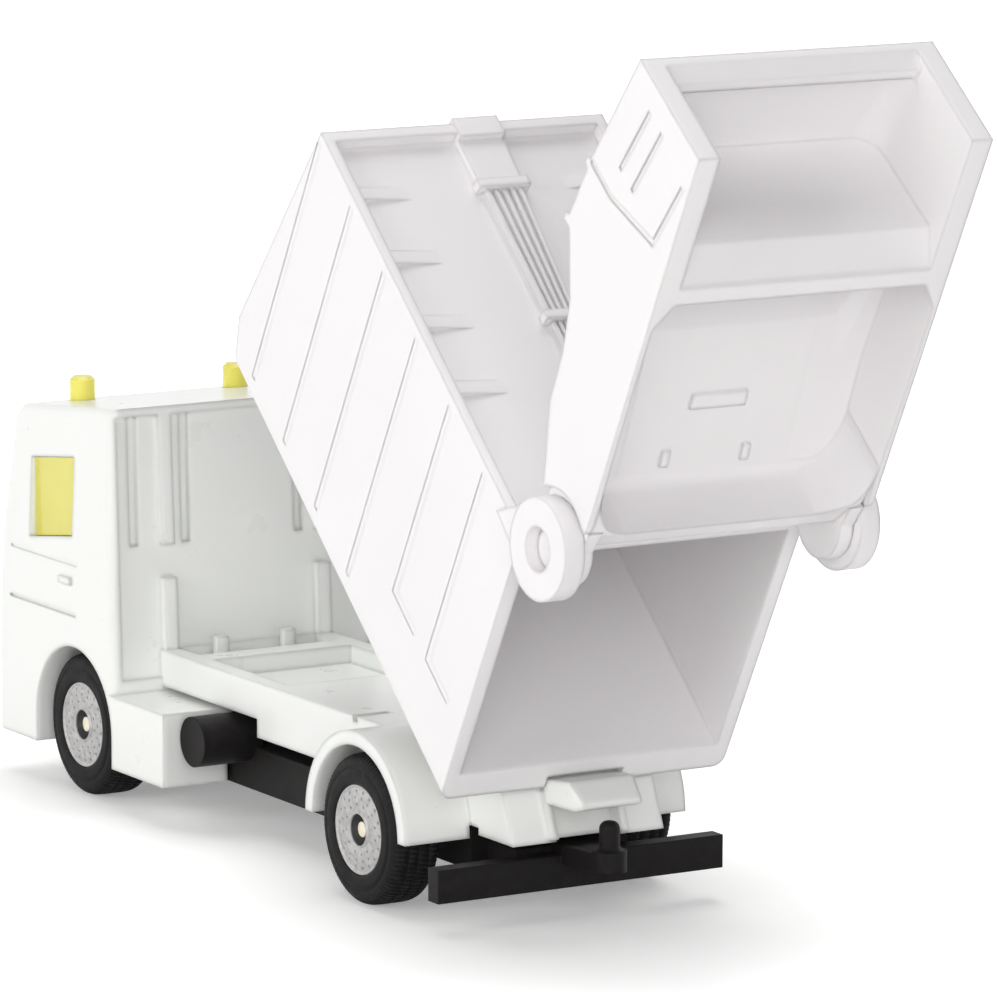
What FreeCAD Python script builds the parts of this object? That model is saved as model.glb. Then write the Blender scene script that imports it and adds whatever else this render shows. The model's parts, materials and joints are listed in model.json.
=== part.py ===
import FreeCAD, Part
import os
import Sketcher

# Toy refuse truck: +X is the vehicle's left, the cab faces -Y, +Z is up and the tyres stand on Z 0.
# Container and tailgate are drawn in "run" (forwards along the container floor) and "rise" (square to
# that floor), from the lower rear edge of the container, and are then turned into the tipped pose.

V = FreeCAD.Vector
doc = FreeCAD.newDocument("toy_refuse_truck")
sheet = doc.addObject("Spreadsheet::Sheet", "Sizes")

SIZES = (
    # the rear axle stands this far behind the middle of the whole toy
    ("middle_ahead", 6.307),
    # wheels and axles
    ("tyre_radius", 5.9),
    ("tyre_shoulder", 5.25),
    ("tyre_shoulder_run", 0.6),
    ("tyre_width", 4.3),
    ("rim_radius", 3.5),
    ("rim_recess", 0.12),
    ("rim_inner_step", 0.35),
    ("hub_hole_radius", 1.22),
    ("hub_hole_depth", 1.3),
    ("axle_radius", 0.6),
    ("axle_end_recess", 0.45),
    ("axle_play", 0.08),
    ("wheelbase", 46.35),
    ("rear_wheel_face", 12.66),
    ("front_wheel_face", 12.1),
    # base plate
    ("base_half", 6.6),
    ("base_under", 3.4),
    ("base_top", 6.95),
    ("base_rear", 6.9),
    ("base_tail_half", 5.0),
    ("base_tail_top", 5.6),
    ("base_front", 58.6),
    ("base_front_slope", 1.6),
    ("base_front_top", 5.0),
    ("bar_half", 12.75),
    ("bar_rear", 12.42),
    ("bar_thick", 1.5),
    ("bar_under", 2.53),
    ("bar_top", 5.12),
    ("hitch_tongue_half", 1.9),
    ("hitch_tongue_thick", 1.45),
    ("hitch_at", 16.3),
    ("hitch_foot_radius", 1.34),
    ("hitch_foot_under", 4.45),
    ("hitch_foot_top", 6.05),
    ("hitch_pin_radius", 0.8),
    ("hitch_pin_top", 8.33),
    ("hitch_skirt", 0.3),
    ("hitch_dome", 0.6),
    ("tank_radius", 2.05),
    ("tank_at", 28.55),
    ("tank_height", 7.55),
    ("tank_far", 11.4),
    ("tank_near", 6.0),
    ("rivet_radius", 1.5),
    ("rivet_head", 0.3),
    ("front_rivet_at", 36.0),
    ("rear_rivet_at", 12.0),
    # body casting: chassis
    ("channel_half", 6.9),
    ("channel_top", 7.0),
    ("deck_half", 8.0),
    ("deck_top", 12.9),
    ("deck_rear", 5.5),
    ("sill_front", 9.9),
    ("sill_rear", 8.4),
    ("sill_step_at", 24.0),
    ("pit_front", 34.0),
    ("pit_rear", 21.6),
    ("pit_half", 6.4),
    ("pit_floor", 11.4),
    ("cross_bar_front", 36.4),
    ("peg_spread", 3.15),
    ("peg_at", 38.7),
    ("peg_radius", 0.5),
    ("peg_top", 13.8),
    ("deck_slot_front", 8.7),
    ("deck_slot_rear", 8.0),
    ("deck_slot_near", 4.9),
    ("deck_slot_deep", 0.5),
    ("tail_half", 6.75),
    ("tail_slope_from", 8.5),
    ("tail_top_rear", 11.75),
    ("tail_top", 10.25),
    ("tail_under_rear", 13.35),
    ("tail_under", 6.45),
    ("tail_under_from", 8.3),
    ("tail_rib_near", 2.85),
    ("tail_rib_far", 3.5),
    ("tail_rib_proud", 0.3),
    ("tail_rib_play", 0.25),
    ("tail_hollow_deep", 1.1),
    ("nose_half", 3.25),
    ("nose_end_half", 2.6),
    ("nose_root", 12.3),
    ("nose_root_top", 11.13),
    ("nose_root_under", 9.3),
    ("nose_brow", 15.05),
    ("nose_brow_top", 11.37),
    ("nose_rear", 16.7),
    ("nose_rear_top", 9.95),
    ("nose_rear_under", 9.55),
    ("nose_chin", 15.85),
    ("nose_chin_under", 9.2),
    ("fender_half", 12.64),
    ("fender_radius", 7.65),
    ("fender_inner", 6.55),
    ("fender_under", 6.0),
    ("fender_ahead", 0.4),
    ("box_near", 6.5),
    ("box_rear", 30.9),
    ("box_top", 9.5),
    ("cab_half", 12.8),
    ("cab_under", 3.45),
    ("cab_rear", 39.8),
    ("cab_lean", 1.0),
    ("cab_lean_from", 12.0),
    ("cab_rear_top", 32.9),
    ("cab_brow_at", 56.7),
    ("cab_brow_top", 31.3),
    ("cab_screen_top_at", 57.8),
    ("cab_screen_top", 30.3),
    ("cab_waist_at", 59.5),
    ("cab_waist", 20.6),
    ("cab_front", 59.9),
    ("cab_chin", 4.4),
    ("cab_chin_run", 0.8),
    ("cab_taper_from", 16.0),
    ("cab_top_half", 12.05),
    ("cab_edge", 0.8),
    ("cab_inner_half", 11.0),
    ("cab_wall", 1.1),
    ("rear_panel_half", 11.7),
    ("rear_panel_low", 10.6),
    ("rear_panel_high", 32.2),
    ("rear_panel_deep", 0.35),
    ("wall_rib_near", 6.6),
    ("wall_rib_far", 7.8),
    ("wall_rib_proud", 0.5),
    ("wall_rib_top", 18.8),
    ("wall_post_low", 21.5),
    ("wall_groove_wide", 0.8),
    ("wall_groove_near", 4.9),
    ("wall_groove_far", 9.7),
    ("wall_groove_deep", 0.3),
    ("door_front", 57.6),
    ("door_rear", 45.9),
    ("door_low", 11.2),
    ("door_line", 0.28),
    ("door_line_deep", 0.08),
    ("belt_low", 15.0),
    ("belt_high", 19.2),
    ("handle_front", 48.6),
    ("handle_rear", 46.6),
    ("handle_low", 17.6),
    ("handle_high", 18.2),
    ("handle_proud", 0.25),
    ("cab_floor", 13.0),
    ("arch_radius", 6.6),
    ("window_front", 54.4),
    ("window_rear", 46.9),
    ("window_front_top", 27.2),
    ("window_rear_top", 28.2),
    ("window_front_sill", 20.5),
    ("window_rear_sill", 21.6),
    ("screen_half", 10.2),
    ("screen_sill", 21.8),
    ("screen_head", 29.3),
    ("beacon_at", 55.0),
    ("beacon_spread", 7.25),
    ("beacon_radius", 1.05),
    ("beacon_play", 0.07),
    ("beacon_top", 33.5),
    ("beacon_edge", 0.3),
    # glazing and interior
    ("glaze_play", 0.05),
    ("glaze_thick", 0.7),
    ("glaze_under", 19.4),
    ("pane_face", 12.0),
    ("seat_near", 1.9),
    ("seat_far", 8.8),
    ("seat_floor_thick", 0.8),
    ("seat_play", 0.1),
    ("seat_front", 52.6),
    ("seat_rear", 45.4),
    ("seat_top", 17.0),
    ("seat_back_thick", 1.8),
    ("seat_back_top", 25.2),
    ("dash_front", 57.9),
    ("dash_rear", 56.6),
    ("dash_half", 10.0),
    ("dash_top", 18.6),
    # hinge of the container
    ("tip_turn", 42.12),
    ("pivot_behind", 7.87),
    ("pivot_height", 12.1),
    ("pivot_run", 4.27),
    ("pivot_rise", -2.0),
    ("pivot_pin_radius", 0.75),
    ("pivot_pin_half", 8.3),
    ("pivot_play", 0.08),
    ("pivot_lug_near", 6.95),
    ("pivot_lug_far", 8.15),
    ("pivot_lug_radius", 1.4),
    # container
    ("box_half", 12.64),
    ("box_wall", 1.2),
    ("box_foot_round", 1.0),
    ("rear_lean_share", 0.255),
    ("rear_foot", -0.1),
    ("under_rise", -0.1),
    ("floor_rise", 2.05),
    ("roof_rise", 23.9),
    ("roof_recess_rise", 22.9),
    ("ceiling_rise", 21.9),
    ("front_top_run", 45.8),
    ("front_low_run", 44.8),
    ("front_low_rise", 3.6),
    ("front_foot_run", 42.6),
    ("front_inner_run", 43.6),
    ("lip_width", 0.9),
    ("recess_rear_run", 7.4),
    ("recess_front_run", 44.8),
    ("notch_half", 3.4),
    ("notch_run", 3.2),
    ("notch_rise", 0.85),
    ("rib_first_run", 20.0),
    ("rib_pitch", 6.45),
    ("rib_thick", 1.3),
    ("rib_crest_rise", 23.4),
    ("rib_end", 7.0),
    ("duct_left", 0.95),
    ("duct_front_right", 3.1),
    ("duct_mid_right", 2.95),
    ("duct_rear_right", 0.6),
    ("duct_front_run", 46.2),
    ("duct_lip_run", 44.3),
    ("duct_mid_run", 40.2),
    ("duct_rear_run", 9.6),
    ("duct_thick", 0.65),
    ("duct_over_lip", 0.2),
    ("hose_bed_thick", 0.25),
    ("hose_thick", 0.6),
    ("hose_wide", 0.36),
    ("clamp_wide", 0.85),
    ("clamp_thick", 0.95),
    ("clamp_past", 0.35),
    ("rear_clamp_run", 26.9),
    ("groove_first_run", 7.0),
    ("groove_pitch", 6.58),
    ("groove_lean_share", 0.25),
    ("groove_wide", 0.6),
    ("groove_deep", 0.08),
    ("groove_low_rise", 1.7),
    ("groove_high_rise", 23.0),
    ("groove_knee_rise", 6.1),
    ("groove_foot_run", 4.3),
    # lugs and tailgate
    ("lug_run", 2.8),
    ("lug_rise", 26.4),
    ("lug_radius", 3.87),
    ("lug_face", 13.73),
    ("lug_thick", 1.7),
    ("lug_hole", 1.67),
    ("lug_neck_low_run", 3.4),
    ("lug_neck_low_rise", 22.4),
    ("lug_neck_front_run", 9.2),
    ("lug_neck_front_rise", 23.0),
    ("lug_neck_top_run", 6.0),
    ("lug_neck_top_rise", 27.9),
    ("gate_turn", 180.8),
    ("gate_half", 12.5),
    ("gate_wall", 1.8),
    ("gate_gap", 0.35),
    ("gate_top_rise", 21.8),
    ("gate_cap_run", 2.3),
    ("gate_cap_rise", 24.9),
    ("gate_heel_run", -0.4),
    ("gate_heel_rise", 24.8),
    ("gate_back_run", -4.6),
    ("gate_back_rise", 18.5),
    ("gate_mid_run", -5.85),
    ("gate_mid_rise", 14.4),
    ("gate_hip_run", -7.65),
    ("gate_hip_rise", 11.0),
    ("gate_shelf_run", -11.85),
    ("gate_shelf_rise", 6.5),
    ("gate_bulge_run", -12.55),
    ("gate_bulge_rise", 1.4),
    ("gate_sill_run", -12.8),
    ("gate_sill_rise", -8.8),
    ("gate_foot_rise", -9.15),
    ("panel_top_run", 0.2),
    ("panel_top_rise", 23.2),
    ("panel_mid_run", -4.1),
    ("panel_mid_rise", 10.95),
    ("panel_low_run", -9.6),
    ("panel_low_rise", 4.9),
    ("panel_foot_run", -10.9),
    ("shelf_top_rise", 2.9),
    ("shelf_under_rise", 2.0),
    ("shelf_bend_run", -3.4),
    ("shelf_bend_rise", 1.0),
    ("hopper_back_run", -11.7),
    ("hopper_back_rise", 0.1),
    ("hopper_floor_rise", -7.7),
    ("hopper_lip_run", -9.35),
    ("hopper_lip_rise", -6.6),
    ("hopper_lip_thick", 0.85),
    ("hopper_sill_run", -12.4),
    ("hopper_sill_rise", -9.0),
    ("ear_radius", 2.9),
    ("ear_thick", 1.2),
    ("ear_play", 0.65),
    ("ear_neck_front_run", 5.0),
    ("ear_neck_front_rise", 22.4),
    ("ear_neck_rear_run", 0.0),
    ("ear_neck_rear_rise", 23.2),
    ("gate_pin_play", 0.07),
    ("gate_pin_recess", 1.05),
    ("hopper_corner", 2.0),
    ("room_end_corner", 1.2),
    ("gusset_near", 7.5),
    ("gusset_top_rise", 15.2),
    ("gusset_foot_run", -4.4),
    ("mark_thick", 0.3),
    ("mark_bar_half", 2.4),
    ("mark_bar_low_rise", 16.2),
    ("mark_bar_high_rise", 17.3),
    ("mark_near", 3.15),
    ("mark_far", 3.85),
    ("mark_low_rise", 20.6),
    ("mark_high_rise", 21.8),
    ("back_rib_proud", 0.4),
    ("back_rib_wide", 0.7),
    ("relief_deep", 0.18),
    ("relief_wide", 0.4),
    ("relief_low_rise", -6.9),
    ("relief_high_rise", -1.0),
    ("relief_rear_run", -9.2),
    ("relief_front_run", -7.1),
    ("relief_belt_rise", 1.6),
    ("relief_belt_run", -8.9),
    ("relief_step_run", -2.75),
    ("relief_step_rise", -0.1),
    ("relief_foot_rise", -6.0),
    # how far cutting shapes run past what they cut, and how closely an edge is met when it is looked up
    ("overrun", 2.0),
    ("match", 0.02),
)


class Size:
    """A length and the formula on the sheet that gives it."""

    def __init__(self, value, formula):
        self.value = value
        self.formula = formula

    def __add__(self, other):
        other = as_size(other)
        return Size(self.value + other.value, "(%s + %s)" % (self.formula, other.formula))

    def __radd__(self, other):
        return as_size(other) + self

    def __sub__(self, other):
        other = as_size(other)
        return Size(self.value - other.value, "(%s - %s)" % (self.formula, other.formula))

    def __rsub__(self, other):
        return as_size(other) - self

    def __mul__(self, other):
        other = as_size(other)
        return Size(self.value * other.value, "(%s * %s)" % (self.formula, other.formula))

    def __rmul__(self, other):
        return as_size(other) * self

    def __neg__(self):
        return Size(-self.value, "(0 - %s)" % self.formula)


def as_size(value):
    if isinstance(value, Size):
        return value
    return Size(float(value), repr(float(value)))


class Names:
    """The sheet's sizes, by name."""


d = Names()
for row, (name, value) in enumerate(SIZES, start=1):
    sheet.set("A%d" % row, name)
    sheet.set("B%d" % row, repr(value))
    sheet.setAlias("B%d" % row, name)
    setattr(d, name, Size(value, "Sizes." + name))
doc.recompute()

NONE = as_size(0)
# how far up the cab's tapering sides the belt lines lie, as a share of the taper
BELT_TAPER_SHARE = 0.25
SIDE_GROOVES = 6
SHORT_GROOVES = 2
ROOF_RIBS = 4
# the hoses draw together to this share of their width at the rear end of the bundle
HOSE_END_SHARE = 0.5
# hoses on the roof: place across the bundle at its front and rear ends, as shares of its width there
HOSE_SHARES = (0.08, 0.27, 0.46, 0.65, 0.84)
bodies = {}


def new_body(name):
    body = doc.addObject("PartDesign::Body", name)
    body.Label = name
    bodies[name] = body
    return body


def origin(body, role):
    return [item for item in body.Origin.OriginFeatures if item.Role == role][0]


def disc(across, up, radius):
    return ("disc", across, up, radius)


def draw(body, name, role, loops, offset):
    """A sketch of closed loops on one of the body's own planes, every corner held by the sheet."""
    sketch = body.newObject("Sketcher::SketchObject", name)
    sketch.AttachmentSupport = [(origin(body, role), "")]
    sketch.MapMode = "FlatFace"
    if offset is not None:
        sketch.AttachmentOffset = FreeCAD.Placement(V(0, 0, offset.value), FreeCAD.Rotation())
        sketch.setExpression("AttachmentOffset.Base.z", offset.formula)
    curves = []
    held = []
    for loop in loops:
        first = len(curves)
        if loop[0] == "disc":
            across, up, radius = (as_size(item) for item in loop[1:])
            curves.append(Part.Circle(V(across.value, up.value, 0), V(0, 0, 1), radius.value))
            held.append((Sketcher.Constraint("DistanceX", -1, 1, first, 3, across.value), across))
            held.append((Sketcher.Constraint("DistanceY", -1, 1, first, 3, up.value), up))
            held.append((Sketcher.Constraint("Radius", first, radius.value), radius))
            continue
        corners = [(as_size(across), as_size(up)) for across, up in loop]
        count = len(corners)
        for index, (along, up) in enumerate(corners):
            end = corners[(index + 1) % count]
            curves.append(Part.LineSegment(V(along.value, up.value, 0), V(end[0].value, end[1].value, 0)))
            after = first + (index + 1) % count
            held.append((Sketcher.Constraint("Coincident", first + index, 2, after, 1), None))
            held.append((Sketcher.Constraint("DistanceX", -1, 1, first + index, 1, along.value), along))
            held.append((Sketcher.Constraint("DistanceY", -1, 1, first + index, 1, up.value), up))
    sketch.addGeometry(curves, False)
    sketch.addConstraint([constraint for constraint, size in held])
    for row, (constraint, size) in enumerate(held):
        if size is not None:
            sketch.setExpression("Constraints[%d]" % row, size.formula)
    return sketch


def feature(body, name, role, loops, length, offset, both_ways, cut):
    sketch = draw(body, name + "_outline", role, loops, offset)
    kind = "PartDesign::Pocket" if cut else "PartDesign::Pad"
    step = body.newObject(kind, name)
    step.Profile = sketch
    if both_ways:
        step.SideType = "Symmetric"
    elif cut:
        step.Reversed = True
    step.Length = length.value
    step.setExpression("Length", length.formula)
    return step


def across(body, name, loops, half, cut=False):
    """Side outline carried across the vehicle, the same to both sides of its middle plane."""
    return feature(body, name, "YZ_Plane", loops, 2 * as_size(half), None, True, cut)


def beside(body, name, loops, near, far, cut=False):
    """Side outline carried from near to far on the left, and its mirror image on the right."""
    near = as_size(near)
    far = as_size(far)
    feature(body, name + "_left", "YZ_Plane", loops, far - near, near, False, cut)
    return feature(body, name + "_right", "YZ_Plane", loops, far - near, -far, False, cut)


def upward(body, name, loops, low, high, cut=False):
    """Plan outline carried from one height to another."""
    low = as_size(low)
    return feature(body, name, "XY_Plane", loops, as_size(high) - low, low, False, cut)


def lengthwise(body, name, loops, front, rear, cut=False):
    """Front outline carried from one station to another; the plane's own normal points forwards."""
    front = as_size(front)
    rear = as_size(rear)
    return feature(body, name, "XZ_Plane", loops, rear - front, -rear, False, cut)


def turned(body, name, loop):
    """Outline of (along X, radius) turned about the body's own X axis."""
    sketch = draw(body, name + "_outline", "XY_Plane", [loop], None)
    step = body.newObject("PartDesign::Revolution", name)
    step.Profile = sketch
    step.ReferenceAxis = (origin(body, "X_Axis"), [""])
    step.Angle = 360
    return step


def box(low_across, high_across, low_up, high_up):
    return [(low_across, low_up), (high_across, low_up), (high_across, high_up), (low_across, high_up)]


def mirrored(loop):
    return [(-as_size(along), up) for along, up in loop]


def rounded(body, name, radius, wanted, kind="PartDesign::Fillet", size="Radius"):
    """Rounds the edges whose middle the given test picks."""
    doc.recompute()
    base = body.Tip
    picked = []
    for index, edge in enumerate(base.Shape.Edges, start=1):
        middle = edge.valueAt((edge.FirstParameter + edge.LastParameter) / 2)
        if wanted(middle, edge):
            picked.append("Edge%d" % index)
    step = body.newObject(kind, name)
    step.Base = (base, picked)
    setattr(step, size, radius.value)
    step.setExpression(size, radius.formula)
    return step


def chamfered(body, name, size, wanted):
    """Bevels the edges whose middle the given test picks."""
    step = rounded(body, name, size, wanted, "PartDesign::Chamfer", "Size")
    return step


def near(value, size):
    return abs(value - as_size(size).value) < d.match.value


def placed(body, along, up, turn=None):
    """Puts a body's own origin at a station from the rear axle and a height, turned about X."""
    station = d.middle_ahead + along
    height = as_size(up)
    angle = NONE if turn is None else turn
    turned_by = FreeCAD.Rotation(V(1, 0, 0), angle.value)
    body.Placement = FreeCAD.Placement(V(0, station.value, height.value), turned_by)
    body.setExpression("Placement.Base.y", station.formula)
    body.setExpression("Placement.Base.z", height.formula)
    if turn is not None:
        body.setExpression("Placement.Rotation.Angle", angle.formula)


# Black base plate with underrun bar, tow hitch and side tanks.
base = new_body("base_plate")
front_axle_y = -d.wheelbase
bar_front = d.bar_rear - d.bar_thick
plate_side = [
    (-d.base_front, d.base_under),
    (d.base_rear, d.base_under),
    (d.base_rear, d.base_top),
    (d.base_front_slope - d.base_front, d.base_top),
    (-d.base_front, d.base_front_top),
]
across(base, "plate", [plate_side], d.base_half)
tail_bar = box(d.base_rear - d.bar_thick, bar_front, d.base_under, d.base_tail_top)
across(base, "plate_tail", [tail_bar], d.base_tail_half)
across(base, "underrun_bar", [box(bar_front, d.bar_rear, d.bar_under, d.bar_top)], d.bar_half)
tongue = [
    (-d.hitch_tongue_half, bar_front),
    (d.hitch_tongue_half, bar_front),
    (d.hitch_tongue_half, d.bar_rear),
    (d.hitch_foot_radius, d.hitch_at),
    (-d.hitch_foot_radius, d.hitch_at),
    (-d.hitch_tongue_half, d.bar_rear),
]
tongue_top = d.hitch_foot_under + d.hitch_tongue_thick
upward(base, "hitch_tongue", [tongue], d.hitch_foot_under, tongue_top)
upward(base, "hitch_foot", [disc(NONE, d.hitch_at, d.hitch_foot_radius)], d.hitch_foot_under, d.hitch_foot_top)
upward(base, "hitch_pin", [disc(NONE, d.hitch_at, d.hitch_pin_radius)], d.hitch_foot_under, d.hitch_pin_top)


def at_pin_foot(middle, edge):
    return near(middle.z, d.hitch_foot_top) and near(abs(middle.x), d.hitch_pin_radius)


chamfered(base, "hitch_skirt_slope", d.hitch_skirt, at_pin_foot)
rounded(base, "hitch_dome_round", d.hitch_dome, lambda m, e: near(m.z, d.hitch_pin_top))
beside(base, "side_tank", [disc(-d.tank_at, d.tank_height, d.tank_radius)], d.tank_near, d.tank_far)
bore = d.axle_radius + d.axle_play
across(base, "rear_axle_bore", [disc(NONE, d.tyre_radius, bore)], d.base_half + d.overrun, cut=True)
across(base, "front_axle_bore", [disc(front_axle_y, d.tyre_radius, bore)], d.base_half + d.overrun, cut=True)
placed(base, NONE, NONE)

for name, station in (("front_rivet", d.front_rivet_at), ("rear_rivet", d.rear_rivet_at)):
    rivet = new_body(name)
    upward(rivet, name + "_head", [disc(NONE, NONE, d.rivet_radius)], d.base_under - d.rivet_head, d.base_under)
    placed(rivet, -station, NONE)

# White body casting: the cab shell first, then the chassis with step boxes and wheel guards.
casting = new_body("body_casting")
cab_side = [
    (-d.cab_rear, d.cab_under),
    (-d.cab_rear, d.cab_lean_from),
    (-d.cab_rear - d.cab_lean, d.cab_rear_top),
    (-d.cab_brow_at, d.cab_brow_top),
    (-d.cab_screen_top_at, d.cab_screen_top),
    (-d.cab_waist_at, d.cab_waist),
    (-d.cab_front, d.cab_floor),
    (-d.cab_front, d.cab_chin),
    (d.cab_chin_run - d.cab_front, d.cab_under),
]
across(casting, "cab", [cab_side], d.cab_half)
for side, sign in (("left", 1), ("right", -1)):
    taper = [
        (sign * d.cab_half, d.cab_taper_from),
        (sign * (d.cab_half + d.overrun), d.cab_taper_from),
        (sign * (d.cab_half + d.overrun), d.cab_rear_top + d.overrun),
        (sign * d.cab_top_half, d.cab_rear_top + d.overrun),
    ]
    lengthwise(casting, "cab_taper_" + side, [taper], -d.cab_front - d.overrun, -d.cab_rear + d.overrun, cut=True)


def at_cab_side(middle, edge):
    """The edges round each side of the cab above its floor, without the line where its taper starts."""
    high = middle.z > d.cab_floor.value and not near(middle.z, d.cab_taper_from)
    return high and abs(middle.x) > d.cab_top_half.value - d.match.value


rounded(casting, "cab_edge_round", d.cab_edge, at_cab_side)


def wall_depth(deep):
    """Side outline that cuts the cab's rear wall to an even depth, from the panel's foot to its head."""
    return [
        (-d.cab_rear - deep, d.rear_panel_low),
        (-d.cab_rear - d.cab_lean - deep, d.rear_panel_high),
        (-d.cab_rear + d.overrun, d.rear_panel_high),
        (-d.cab_rear + d.overrun, d.rear_panel_low),
    ]


across(casting, "rear_panel", [wall_depth(d.rear_panel_deep)], d.rear_panel_half, cut=True)
wall_back = -d.cab_rear - d.cab_lean - d.rear_panel_deep
low_rib = [
    (wall_back, d.rear_panel_low),
    (wall_back, d.wall_rib_top),
    (-d.cab_rear, d.wall_rib_top),
    (d.wall_rib_proud - d.cab_rear, d.rear_panel_low),
]
beside(casting, "wall_rib", [low_rib], d.wall_rib_near, d.wall_rib_far)
post = [
    (wall_back, d.wall_post_low),
    (wall_back, d.rear_panel_high),
    (-d.cab_rear - d.cab_lean, d.rear_panel_high),
    (-d.cab_rear - d.rear_panel_deep, d.wall_post_low),
]
beside(casting, "wall_post", [post], d.wall_rib_near, d.wall_rib_far)
groove = wall_depth(d.rear_panel_deep + d.wall_groove_deep)
groove[0] = (-d.cab_rear - d.cab_lean - d.rear_panel_deep, d.wall_post_low)
groove[3] = (-d.cab_rear + d.overrun, d.wall_post_low)
for name, near_side in (("inner", d.wall_groove_near), ("outer", d.wall_groove_far)):
    beside(casting, "wall_groove_" + name, [groove], near_side, near_side + d.wall_groove_wide, cut=True)
wheel_guard = [disc(-d.fender_ahead, d.tyre_radius, d.fender_radius)]
across(casting, "wheel_guard", wheel_guard, d.fender_half)
wheel_space = [disc(-d.fender_ahead, d.tyre_radius, d.fender_inner)]
beside(casting, "wheel_space", wheel_space, d.channel_half, d.fender_half + d.overrun, cut=True)
below_guard = box(-d.fender_radius - d.overrun, d.fender_radius + d.overrun, -d.overrun, d.fender_under)
across(casting, "guard_foot", [below_guard], d.fender_half + d.overrun, cut=True)
deck_side = [
    (-d.cab_rear - d.overrun, d.sill_front),
    (-d.sill_step_at, d.sill_front),
    (-d.sill_step_at, d.sill_rear),
    (d.deck_rear, d.sill_rear),
    (d.deck_rear, d.deck_top),
    (-d.cab_rear - d.overrun, d.deck_top),
]
across(casting, "deck", [deck_side], d.deck_half)
pit_side = box(-d.pit_front, -d.pit_rear, d.pit_floor, d.deck_top + d.overrun)
across(casting, "deck_pit", [pit_side], d.pit_half, cut=True)
trench_side = box(-d.cab_rear, -d.cross_bar_front, d.pit_floor, d.deck_top + d.overrun)
across(casting, "deck_trench", [trench_side], d.pit_half, cut=True)
peg = [box(-d.peg_at - d.peg_radius, d.peg_radius - d.peg_at, d.pit_floor - d.cab_wall, d.peg_top)]
beside(casting, "deck_peg", peg, d.peg_spread - d.peg_radius, d.peg_spread + d.peg_radius)
slot_side = box(-d.deck_slot_front, -d.deck_slot_rear, d.deck_top - d.deck_slot_deep, d.deck_top + d.overrun)
beside(casting, "deck_slot", [slot_side], d.deck_slot_near, d.deck_half + d.overrun, cut=True)
tail_side = [
    (NONE, d.channel_top),
    (d.tail_under_from, d.channel_top),
    (d.tail_under_from, d.tail_under),
    (d.tail_under_rear, d.tail_under),
    (d.tail_top_rear, d.tail_top),
    (d.tail_slope_from, d.deck_top),
    (NONE, d.deck_top),
]
across(casting, "tail_frame", [tail_side], d.tail_half)
tail_hollow = [
    (d.tail_under_rear - d.tail_hollow_deep, d.tail_under - d.overrun),
    (d.tail_under_rear - d.tail_hollow_deep, d.tail_under),
    (d.nose_root - d.tail_hollow_deep, d.nose_root_under),
    (d.tail_under_rear + d.overrun, d.nose_root_under),
    (d.tail_under_rear + d.overrun, d.tail_under - d.overrun),
]
across(casting, "tail_hollow", [tail_hollow], d.tail_rib_near, cut=True)
tail_rib = [
    (d.tail_top_rear, d.tail_under + d.tail_rib_play),
    (d.tail_under_rear + d.tail_rib_proud, d.tail_under + d.tail_rib_play),
    (d.tail_top_rear + d.tail_rib_proud, d.tail_top),
    (d.tail_top_rear, d.tail_top),
]
beside(casting, "tail_rib", [tail_rib], d.tail_rib_near, d.tail_rib_far)
nose_side = [
    (d.tail_slope_from, d.nose_root_under),
    (d.nose_root, d.nose_root_under),
    (d.nose_chin, d.nose_chin_under),
    (d.nose_rear, d.nose_rear_under),
    (d.nose_rear, d.nose_rear_top),
    (d.nose_brow, d.nose_brow_top),
    (d.nose_root, d.nose_root_top),
    (d.tail_slope_from, d.deck_top),
]
across(casting, "tipping_stop", [nose_side], d.nose_half)
nose_wedges = []
for sign in (1, -1):
    wedge = [
        (sign * d.nose_half, d.nose_root + d.tail_rib_proud),
        (sign * (d.nose_half + d.overrun), d.nose_root + d.tail_rib_proud),
        (sign * (d.nose_half + d.overrun), d.nose_rear + d.overrun),
        (sign * d.nose_end_half, d.nose_rear + d.overrun),
        (sign * d.nose_end_half, d.nose_rear),
    ]
    nose_wedges.append(wedge)
upward(casting, "nose_taper", nose_wedges, d.nose_chin_under - d.tail_rib_play, d.nose_brow_top + d.overrun, cut=True)
step_side = box(-d.cab_rear - d.overrun, -d.box_rear, d.cab_under, d.box_top)
beside(casting, "step_box", [step_side], d.box_near, d.cab_half)
channel = [box(-d.cab_front - d.overrun, d.tail_under_from, -d.overrun, d.channel_top)]
across(casting, "base_channel", channel, d.channel_half, cut=True)
front_arch = [disc(front_axle_y, d.tyre_radius, d.arch_radius)]
beside(casting, "front_arch", front_arch, d.channel_half, d.cab_half + d.overrun, cut=True)
arch_foot = box(front_axle_y - d.arch_radius, front_axle_y + d.arch_radius, NONE, d.tyre_radius)
beside(casting, "front_arch_foot", [arch_foot], d.channel_half, d.cab_half + d.overrun, cut=True)
room_rear = d.cab_rear + d.cab_lean + d.cab_wall
room_side = [
    (-room_rear, d.cab_floor),
    (-room_rear, d.cab_rear_top - d.cab_wall),
    (-d.cab_brow_at, d.cab_brow_top - d.cab_wall),
    (d.cab_wall - d.cab_screen_top_at, d.cab_screen_top - d.cab_wall),
    (d.cab_wall - d.cab_waist_at, d.cab_waist),
    (d.cab_wall - d.cab_front, d.cab_floor),
]
across(casting, "cab_room", [room_side], d.cab_inner_half, cut=True)
window_side = [
    (-d.window_front, d.window_front_sill),
    (-d.window_rear, d.window_rear_sill),
    (-d.window_rear, d.window_rear_top),
    (-d.window_front, d.window_front_top),
]
beside(casting, "side_window", [window_side], d.cab_inner_half - d.overrun, d.cab_half + d.overrun, cut=True)
screen = [box(-d.screen_half, d.screen_half, d.screen_sill, d.screen_head)]
lengthwise(casting, "windscreen", screen, -d.cab_front - d.overrun, -d.cab_brow_at, cut=True)
belt_lines = []
for height in (d.belt_low, d.belt_high):
    belt_lines.append(box(-d.door_front, -d.door_rear, height, height + d.door_line))
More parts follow.
